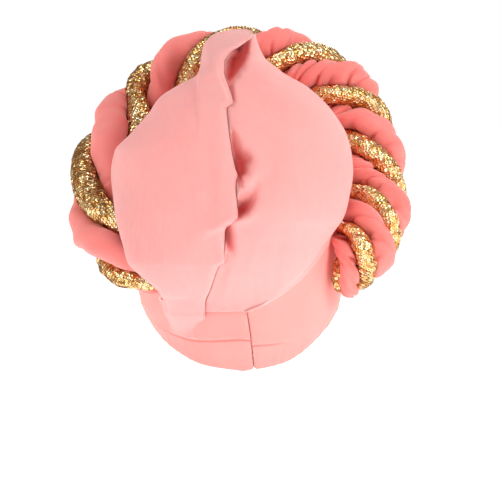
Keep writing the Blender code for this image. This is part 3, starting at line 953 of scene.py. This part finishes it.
leftPanel = {
    "rows": 200,
    "columns": (20, 115, 16),      # on the roll, on the back and on the tucked edge
    "rollTurn": (168, 12),         # degrees, from under the edge to the back
    "columnEnd": 0.150,            # share of the pouch's height that the upright fold takes up
    "columnStand": 3.6,            # mm that the upright fold stands over the panel
    "columnEdge": (-34.5, -29.5),  # mm across
    "columnDown": ((26, 40), (38, 104)),  # mm down between which it sets in and fades
    "edgeLift": 0.0044,            # where the edge ends over the head form, flush with the band
    "swell": (1.3, -5, 5),         # mm of height, mm from the edge to its middle, width
    "swellDown": ((55, 75), (130, 150)),
    "valley": (1.3, -24, 6),
    "valleyDown": ((60, 95), (130, 160)),
    "crimp": (0.2, 3.4),           # mm of height and of length
    "crimped": (-76, 22, 156, 34),  # mm across and down to the middle, each with its width
    "ripples": ((0.35, 5, 9, 0.7, 26, 60), (0.10, 6, 9, 0.5, 7, 13)),
    "plainEdges": ((0.03, 0.10), (0.84, 0.90)),
    "tailRows": 34,
    "tailLift": (0.0003, 0.0015),  # metres over the band, and how far its edges sink in from there
    "tailSunk": ((0.0, 0.45), (0.9, 1.0)),
    "tailReach": 0.25,             # share of the tail over which its right edge lies down
    "flat": (0.20, 0.29),
    "area": 0.0436,
}
# Soft raised creases: mm across, mm down, height, width to the left, width to the right
panelCreases = (
    ((-4.0, 147.0, 3.0, 7.0, 2.2), (-13.0, 152.5, 3.4, 9.0, 2.4), (-25.5, 157.5, 2.4, 10.0, 2.8),
     (-31.5, 167.0, 0.8, 10.0, 4.0), (-36.0, 180.0, 0.0, 10.0, 6.0)),
    ((-14.0, 176.0, 1.4, 3.0, 3.0), (-13.0, 186.0, 1.0, 4.0, 3.0), (-22.0, 206.0, 0.0, 4.0, 4.0)),
    ((-66.0, 60.0, 0.0, 6.0, 6.0), (-50.0, 95.0, 0.7, 8.0, 8.0), (-42.0, 140.0, 0.0, 10.0, 10.0)),
)


def makeLeftPanel(v):
    drop = np.linspace(0, 1, v["rows"])[:, None]
    level, side, rear, flank, rim, tuck, inner = sectionSizes(panelTable, drop)
    start, middle, radius = rollOf(drop)
    onRoll, onBack, _ = v["columns"]
    turn = np.radians(np.linspace(*v["rollTurn"], onRoll))[None, :]
    angle = (math.pi / 2 * np.linspace(0, 1, onBack))[None, :]
    backX = start + (side - start) * np.sin(angle)
    backY = fullness(backX, rear, flank, side, drop, start)
    x = np.concatenate((start + radius * np.sin(turn), backX), axis=1)
    y = np.concatenate((middle - radius * np.cos(turn), backY), axis=1)
    y = heldOff(x, y, level, pouch["lift"])
    inner = np.minimum(inner, np.where(drop > v["columnEnd"], start, pouch["topOverlap"]))
    inner = np.maximum(inner, side + pouch["edgeWidth"])
    grid = pouchGrid(v, x, y, level, side, flank, rim, tuck, inner)
    grid = moveOut(grid, panelRelief(v, grid, start))
    grid = np.concatenate((grid, panelTail(v, grid[-1])))
    return sheetPiece("leftPanel", grid, pouch["cloth"], pouchCrepe)


def panelRelief(v, grid, start):
    across, down = inMm(grid)
    fromEdge = across - 1000 * start
    column = smoothStep(across, *v["columnEdge"]) * (1 - smoothStep(fromEdge, 0, 3))
    relief = v["columnStand"] * column * window(down, *v["columnDown"])
    height, *place = v["swell"]
    relief += height * hump(fromEdge, *place) * window(down, *v["swellDown"])
    depth, *place = v["valley"]
    relief -= depth * hump(across, *place) * window(down, *v["valleyDown"])
    for line in panelCreases:
        relief += dent(across, down, line, power=1.6)
    height, length = v["crimp"]
    where = hump(across, *v["crimped"][:2]) * hump(down, *v["crimped"][2:])
    bend = across + 0.0012 * (down - 150) ** 2
    relief += height * where * np.sin(2 * math.pi * bend / length + 1.5 * np.sin(down / 23))
    relief += ripples(v["ripples"], across, down)
    return relief * plainEdges(grid, v["plainEdges"]) / 1000


def panelTail(v, last):  # the panel runs on over the band, down to the casing's seam
    band = napeBand
    across = np.linspace(0, 1, len(last))[None, :]
    width, _, _ = halfSection(last[:, 2], band["lift"])
    bearing = np.degrees(np.arcsin(np.clip(last[:, 0] / width, -0.99, 0.99)))[None, :]
    share = (np.arange(1, v["tailRows"] + 1) / v["tailRows"])[:, None]
    top = last[None, :, 2]
    end = hemAt(bearing) + casingHeight(bearing) + 0.0004
    over, sink = v["tailLift"]
    right, left = v["tailSunk"]
    sunk = 1 - smoothStep(across, *right) + smoothStep(across, *left)
    lift = band["lift"] + over - sink * sunk
    flush = bandPoint(band, bearing, top + (end - top) * share, lift)
    start = last[None] - bandPoint(band, bearing, top, lift)
    reach = v["tailReach"] + (1 - v["tailReach"]) * smoothStep(across, 0.0, 0.60)
    reach = reach * (1 - 0.6 * smoothStep(across, 0.80, 1.0))
    return flush + start * (1 - smoothStep(share / reach, 0, 1))[..., None]


rightLobe = {
    "rows": 210,
    "columns": (16, 115, 16),
    "hugTurn": (200, 60),     # degrees round the overlapping edge that the cloth lies on
    "edgeLift": 0.0056,
    "edgeDip": 2.2,           # mm that the cloth dips in beside the overlapping edge
    "dipWidth": 4.2,
    "dipDown": (6, 24),       # mm down over which the dip sets in
    "topDip": 0.2,            # its share above that
    "ripples": ((0.35, 15, 9, 0.6, 24, 55),),
    "gathers": ((0.16, 16, 9, 0.25, 8, 15),),
    "gathersDown": (90, 150),
    "plainEdges": ((0.12, 0.25), (0.84, 0.90)),
    "flat": (0.20, 0.25),
    "area": 0.036,
}
# Hollows where the cloth is gathered in: mm across, mm down, depth, width to the left, width to the right
lobeHollows = (
    (
        (3.0, 11.0, 10.0, 8.0, 4.0),
        (-1.0, 18.0, 26.0, 10.0, 5.4),
        (-5.0, 27.0, 40.0, 11.0, 6.4),
        (-7.0, 35.0, 38.0, 9.0, 4.8),
        (-8.5, 44.0, 18.0, 6.0, 2.4),
        (-5.5, 57.0, 7.0, 4.0, 1.8),
    ),
    (
        (-7.0, 80.0, 3.0, 4.0, 3.2),
        (-4.5, 95.0, 14.0, 6.0, 5.5),
        (-1.0, 104.0, 26.0, 8.0, 7.6),
        (0.5, 110.5, 28.0, 8.0, 5.0),
    ),
    (
        (11.5, 122.0, 2.0, 4.0, 3.4),
        (8.0, 132.0, 10.0, 6.0, 4.0),
        (2.5, 140.0, 22.0, 7.0, 3.6),
        (-1.5, 144.0, 23.0, 7.0, 2.6),
    ),
    (
        (-11.5, 154.0, 16.0, 5.0, 4.4),
        (-10.0, 161.0, 14.0, 5.0, 4.0),
        (-7.0, 173.0, 2.0, 4.0, 3.4),
    ),
    ((23.0, 92.0, 0.0, 5.0, 5.0), (24.5, 112.0, 1.3, 5.0, 5.0), (22.0, 138.0, 0.0, 5.0, 5.0)),
    ((-12.0, 186.0, 2.0, 4.0, 5.0), (-19.0, 204.0, 1.5, 4.0, 5.0), (-24.0, 216.0, 0.5, 4.0, 4.0)),
)
# Raised bunches beside them, in the same columns
lobeBunches = (
    ((3.0, 117.0, 2.6, 4.0, 5.0), (9.5, 111.0, 3.0, 6.0, 7.0), (14.0, 103.0, 0.6, 8.0, 8.0)),
    ((5.0, 121.0, 2.5, 4.0, 6.0), (8.0, 128.0, 2.2, 3.5, 7.0), (2.0, 135.0, 1.0, 3.0, 4.0)),
    ((-4.0, 150.5, 3.2, 3.6, 7.0), (6.0, 147.5, 3.0, 3.2, 8.0), (17.0, 138.5, 0.8, 6.0, 9.0)),
)


def makeRightLobe(v):
    drop = np.linspace(lobeTable["drop"][0], lobeTable["drop"][-1], v["rows"])[:, None]
    level, side, rear, flank, rim, tuck, inner = sectionSizes(lobeTable, drop)
    start, middle, radius = rollOf(drop)
    clear = radius + pouch["foldClearance"]
    fold = start + clear
    onRoll, onBack, _ = v["columns"]
    turn = np.radians(np.linspace(*v["hugTurn"], onRoll))[None, :]
    hugY = middle - clear * np.cos(turn)
    angle = (math.pi / 2 * np.linspace(0.004, 1, onBack))[None, :]
    backX = fold + (side - fold) * np.sin(angle)
    backY = fullness(backX, rear, flank, side, drop, fold)
    x = np.concatenate((start + clear * np.sin(turn), backX), axis=1)
    sunk = lobeSunk(v, x, fold, 1000 * pouch["height"] * drop) / 1000
    hugY = np.maximum(hugY, rear + sunk[:, :onRoll])
    y = np.concatenate((hugY, backY + sunk[:, onRoll:]), axis=1)
    y = heldOff(x, y, level, pouch["lift"])
    inner = np.maximum(inner, pouch["topOverlap"] + pouch["edgeWidth"])
    inner = np.minimum(inner, side - pouch["edgeWidth"])
    grid = pouchGrid(v, x, y, level, side, flank, rim, tuck, inner)
    return sheetPiece("rightLobe", moveOut(grid, lobeRelief(v, grid)), pouch["cloth"], pouchCrepe)


def lobeSunk(v, x, fold, down):  # mm that the cloth lies in from the pouch's full form
    dip = v["edgeDip"] * (v["topDip"] + (1 - v["topDip"]) * smoothStep(down, *v["dipDown"]))
    sunk = dip * np.exp(-np.maximum(1000 * (x - fold), 0) / v["dipWidth"])
    for line in lobeHollows:
        sunk = np.maximum(sunk, dent(1000 * x, down + 0 * x, line) + 0.4 * sunk)
    for line in lobeBunches:
        sunk = sunk - dent(1000 * x, down + 0 * x, line)
    return sunk


def lobeRelief(v, grid):
    across, down = inMm(grid)
    relief = ripples(v["ripples"], across, down)
    relief += ripples(v["gathers"], across, down) * smoothStep(down, *v["gathersDown"])
    return relief * plainEdges(grid, v["plainEdges"]) / 1000


# Nape band: two halves joined at the centre-back seam, with a casing along the hem
napeBand = {
    "height": 0.072,
    "lift": 2 * capForm["cloth"] + capForm["layerGap"],
    "seamBearing": 7.0,      # degrees from straight back
    "seamSlant": (3.1, -8.0),  # degrees at the hem, and on the way up
    "sideBearing": 95.0,
    "seamGap": 0.35,         # half the slit between the halves above the casing, in degrees
    "allowance": (0.0004, 0.0010, 0.0018, 0.0028, 0.0042),  # metres that the seam's edges turn in
    "rows": 112,
    "columns": 125,
    "cloth": 0.0013,
    "mmPerDegree": 1.12,
    "casingStep": 1.9,       # mm that the cloth laps over the casing
    "lapLength": 7,          # mm over which the lap thins out upwards
    "lapLeft": (60, 90),     # mm from the seam between which the lap fades, to the left and to the right
    "lapRight": (14, 34),
    "casingGroove": (1.5, -0.9, 0.9),  # mm of depth, mm over the casing's seam, width
    "seamDepth": 1.5,
    "ripples": ((0.45, 25, 8, 0.5, 26, 60),),
    "swell": (0.6, 34, 9),   # mm of height, mm from the seam, width
    "swellUp": (20, 40),     # mm over the hem
    "puckers": ((0.16, 26, 8, 0.2, 5, 9),),
    "puckersUp": (8, 19),
    "notch": 0.0019,         # metres that the hem rises at the seam
    "notchWidth": 1.6,       # mm
    "hemRadius": 0.0011,
    "stitchLength": 0.0020,
    "stitchSpacing": 0.0046,
    "stitchRadius": 0.0003,
    "light": (0.97, 0.37, 0.34),
    "deep": (0.95, 0.31, 0.285),
    "thread": (0.40, 0.07, 0.05),
}
bandTable = tableOf(
    "bearing hem height",
    (0, 1.00, 0.80),
    (30, 0.96, 0.98),
    (60, 0.83, 1.18),
    (80, 0.64, 1.04),
    (95, 0.50, 0.72),
)
# From the hem up to the casing's seam, in metres, on each side of the centre-back seam
casingTable = tableOf(
    "bearing left right",
    (0, 0.026, 0.0205),
    (28, 0.020, 0.018),
    (62, 0.0135, 0.0135),
    (95, 0.010, 0.010),
)
bandCrepe = crepeMaterial("bandCrepe", napeBand["light"], napeBand["deep"], crimp=0.3)


def hemAt(bearing):
    return widestLevel - capForm["napeDrop"] * read(bandTable, "hem", np.abs(bearing))


def casingHeight(bearing):
    left, right = (read(casingTable, side, np.abs(bearing)) for side in ("left", "right"))
    return np.where(bearing < napeBand["seamBearing"], left, right)


def bandRelief(v, bearing, z):
    fromSeam = v["mmPerDegree"] * (bearing - v["seamBearing"])
    fromHem = 1000 * (z - hemAt(bearing))
    stands = fromHem - 1000 * casingHeight(bearing)
    lap = v["casingStep"] * smoothStep(stands, -0.5, 0.4) * np.exp(-np.maximum(stands, 0) / v["lapLength"])
    depth, *place = v["casingGroove"]
    left, right = smoothStep(-fromSeam, *v["lapLeft"]), smoothStep(fromSeam, *v["lapRight"])
    relief = (lap - depth * hump(stands, *place)) * (1 - np.where(fromSeam < 0, left, right))
    sewn = smoothStep(stands, -1.5, 1.5)
    relief -= v["seamDepth"] * (0.5 + 0.5 * sewn) * np.exp(-np.abs(fromSeam) / (0.6 + 0.5 * sewn))
    relief += ripples(v["ripples"], fromSeam, fromHem)
    height, *place = v["swell"]
    relief += height * hump(fromSeam, *place) * smoothStep(fromHem, *v["swellUp"])
    relief += ripples(v["puckers"], fromSeam, 0.5 * fromHem) * (1 - smoothStep(fromHem, *v["puckersUp"]))
    return relief / 1000


def bandPoint(v, bearing, z, lift, inward=0.0):  # the seam slants, and its neighbourhood with it
    height = v["height"] * read(bandTable, "height", np.abs(bearing))
    up = (z - hemAt(bearing)) / height
    base, slope = v["seamSlant"]
    near = np.exp(-np.abs(bearing - v["seamBearing"]) / 20)
    turn = np.radians(bearing + (base + slope * up) * near)
    width, back, front = halfSection(z, lift + bandRelief(v, bearing, z) - inward)
    length = np.where(np.cos(turn) > 0, back, front)
    return np.stack((width * np.sin(turn), -length * np.cos(turn), z + 0 * turn), axis=-1)


def makeBandHalf(v, half, sign):
    # rows run down from the edge under the pouch to the hem
    share = np.linspace(1, 0, v["rows"])[:, None]
    step = np.linspace(0, 1, v["columns"]) ** 1.4
    start = v["seamBearing"] + sign * v["seamGap"]
    bearing = (start + (sign * v["sideBearing"] - start) * step)[None, :]
    fromSeam = v["mmPerDegree"] * np.abs(bearing - v["seamBearing"])
    hem = hemAt(bearing) + v["notch"] * np.exp(-fromSeam / v["notchWidth"])
    z = hem + v["height"] * read(bandTable, "height", np.abs(bearing)) * share
    grid = bandPoint(v, bearing + 0 * share, z, v["lift"])
    seam = bearing[:, :1]
    closing = (v["seamBearing"] - seam) / len(v["allowance"])
    turned = []
    for i, depth in enumerate(v["allowance"]):
        at = seam + 0.96 * closing * (i + 1) + 0 * share
        turned.insert(0, bandPoint(v, at, z[:, :1], v["lift"], inward=depth))
    grid = np.concatenate(turned + [grid], axis=1)
    grid = turnUnder(grid, v["hemRadius"], 12)
    piece = sheetPiece("napeBand" + half, grid, v["cloth"], bandCrepe)
    belong(piece, "nape_band_" + half.lower())


def makeSeamStitches(v):  # the stitches that show in the seam below the casing's edge
    seam = np.full(20, v["seamBearing"])
    z = hemAt(seam) + np.linspace(0.002, 1, len(seam)) * casingHeight(seam)
    line = bandPoint(v, seam, z, v["lift"] + 0.0004)
    stitches = stitchRow("seamStitches", v, line, threadMaterial("seamThread", v["thread"]))
    belong(stitches)


# Crown: the stretchy cap in front of the rope, gathered where the rope is sewn on
crownCap = {
    "rows": 110,
    "columns": 200,
    "sideBearing": 126.0,
    "lift": capForm["cloth"],
    "cloth": 0.0014,
    "hemRadius": 0.0010,
    "stitchRow": 0.0075,     # metres from the hem back to the row of stitches
    "stitchLength": 0.0024,
    "stitchSpacing": 0.0036,
    "stitchRadius": 0.00022,
    "spread": (1.45, 85),    # mm for a degree across, and mm from the rope to the front hem
    "gatherDepth": 0.9,      # mm
    "gathers": (35, 10, 0.12, 4.0, 9.0),
    "gathersDown": ((0.12, 0.3), (0.4, 0.85)),
    "ripples": ((0.35, 36, 9, 0.8, 20, 60),),
    "stitchGroove": (0.35, 0.012),  # mm of depth, width as a share of the way
    "flat": (0.36, 0.20),
    "area": 0.034,
    "light": (0.97, 0.43, 0.385),
    "deep": (0.95, 0.37, 0.335),
    "thread": (0.97, 0.50, 0.45),
}
crownTable = tableOf(
    "bearing hem seam",
    (0, 70, 11),
    (45, 68, 6),
    (87, 52, -15),
    (115, 23, -21),
    (126, 6, -16),
)


def crownGrid(v):  # rows run from the seam under the rope to the front hem
    bearing = np.linspace(-v["sideBearing"], v["sideBearing"], v["columns"])[None, :]
    share = np.linspace(0, 1, v["rows"])[:, None]
    seam, hem = read(crownTable, "seam", np.abs(bearing)), read(crownTable, "hem", np.abs(bearing))
    lean = seam + (hem - seam) * share
    return onHead(bearing + 0 * share, lean, v["lift"]), bearing, share


def makeCrown(v):
    grid, bearing, share = crownGrid(v)
    perDegree, length = v["spread"]
    across = perDegree * bearing + 0 * share
    down = length * share + 0 * bearing
    gathers = np.maximum(rippleField(*v["gathers"])(across, 0.35 * down), -0.4)
    relief = v["gatherDepth"] * gathers * window(share, *v["gathersDown"])
    relief += ripples(v["ripples"], across, down) * (1 - smoothStep(share, 0.85, 1))
    row = 1 - 1000 * v["stitchRow"] / length
    depth, width = v["stitchGroove"]
    relief -= depth * hump(share + 0 * bearing, row, width)
    grid = moveOut(grid, np.maximum(relief, -0.5) / 1000)
    line = grid[int(round(row * (v["rows"] - 1)))]
    grid = turnUnder(grid, v["hemRadius"], 12)
    cloth = crepeMaterial("crownCrepe", v["light"], v["deep"], crimp=0.3)
    piece = sheetPiece("crownShell", grid, v["cloth"], cloth)
    belong(piece, "crown")
    stitches = stitchRow("crownStitches", v, line, threadMaterial("crownThread", v["thread"]))
    belong(stitches)


def stitchRow(name, v, line, material):  # a row of short threads along a line, each dipping in at its ends
    length = lengthAlong(line)
    at = np.arange(v["stitchSpacing"], length[-1] - v["stitchSpacing"], v["stitchSpacing"])

    def sample(values, places):
        return np.stack([np.interp(places, length, values[:, k]) for k in range(3)], axis=-1)

    out = unit(line - np.array((0.0, 0.0, widestLevel)))
    along = unit(np.gradient(line, axis=0))
    rings, sides = 6, 5
    run = np.linspace(-1, 1, rings)
    thick = v["stitchRadius"] * np.sqrt(np.clip(1.05 - run**4, 0.1, None))
    places = at[:, None] + v["stitchLength"] / 2 * run[None, :]
    centre, facing, way = sample(line, places), sample(out, places), sample(along, places)
    centre = centre + facing * (v["stitchRadius"] * (1.1 - 1.6 * run**4))[None, :, None]
    side = unit(np.cross(facing, way))
    turn = 2 * math.pi * np.arange(sides) / sides
    ring = np.cos(turn)[:, None] * facing[:, :, None] + np.sin(turn)[:, None] * side[:, :, None]
    points = (centre[:, :, None] + thick[None, :, None, None] * ring).reshape(-1, 3)
    faces = []
    for i in range(len(at)):
        start = i * rings * sides
        faces += gridFaces(rings, sides, start, around=True)
        faces.append([start + k for k in range(sides)])
        faces.append([start + (rings - 1) * sides + k for k in range(sides - 1, -1, -1)])
    return addPiece(name, points, faces, material)


makeCrown(crownCap)
print("crown made")
makeBandHalf(napeBand, "Left", -1)
makeBandHalf(napeBand, "Right", 1)
makeSeamStitches(napeBand)
print("nape band made")


def placePouchPart(piece, node):
    belong(piece, node)


placePouchPart(makeLeftPanel(leftPanel), "pouch_left_panel")
placePouchPart(makeRightLobe(rightLobe), "pouch_right_lobe")
print("pouch made")


# Studio: a pale floor, soft lights all round and a bright white sky
studio = {
    "floorDrop": 0.46,          # metres below the top of the head
    "floorSize": 160.0,
    "floorColour": (0.94, 0.93, 0.93),
    "floorGlow": 0.72,
    "sky": (  # from straight below to straight above
        (0.0, (0.62, 0.61, 0.60)),
        (0.45, (0.44, 0.43, 0.42)),
        (0.62, (0.62, 0.62, 0.62)),
        (1.0, (1.0, 1.0, 1.0)),
    ),
    "skyStrength": 0.35,
    "lights": (
        # place in metres from the cap's middle, size in metres, watts, colour
        ("key", (1.5, -1.5, 0.8), 1.0, 30.5, (1.0, 0.98, 0.95)),
        ("fill", (-1.5, -1.4, -0.1), 1.6, 4.0, (1.0, 0.98, 1.0)),
        ("side", (-2.1, -0.2, 0.4), 1.6, 14.0, (1.0, 0.98, 0.96)),
        ("top", (-0.2, 0.1, 1.8), 0.9, 12.0, (1.0, 1.0, 1.0)),
        ("rim", (0.8, 1.5, 0.8), 0.8, 10.0, (1.0, 1.0, 1.0)),
    ),
}


def makeStudio(v):
    bpy.context.scene.view_settings.view_transform = "Standard"
    world = bpy.data.worlds.new("studioSky")
    world.use_nodes = True
    bpy.context.scene.world = world
    sky = Wire(world.node_tree)
    way = sky.node("TexCoord", output=0)
    height = sky.node("SeparateXYZ", sockets={"Vector": way}, output=2) * 0.5 + 0.5
    colour = sky.node("ValToRGB", {"stops": v["sky"]}, {"Fac": height})
    background = world.node_tree.nodes["Background"]
    background.inputs["Strength"].default_value = v["skyStrength"]
    plug(colour, background, "Color")
    for name, place, size, watts, colour in v["lights"]:
        data = bpy.data.lights.new(name, "AREA")
        data.shape = "DISK"
        data.size = size
        data.energy = watts
        data.color = colour
        light = bpy.data.objects.new(name, data)
        light.location = (place[0], place[1], place[2] + widestLevel)
        light.rotation_euler = (-Vector(place)).to_track_quat("-Z", "Y").to_euler()
        bpy.context.scene.collection.objects.link(light)
    half = v["floorSize"] / 2
    corners = [(x * half, y * half, -v["floorDrop"]) for x, y in ((-1, -1), (1, -1), (1, 1), (-1, 1))]
    fixed = {"Base Color": (*v["floorColour"], 1), "Roughness": 0.9, "Specular IOR Level": 0.1}
    fixed.update({"Emission Color": (1, 1, 1, 1), "Emission Strength": v["floorGlow"]})
    material, _, _ = startMaterial("paleFloor", fixed)
    addPiece("floor", corners, [[0, 1, 2, 3]], material, smooth=False)


makeStudio(studio)
print("studio set")
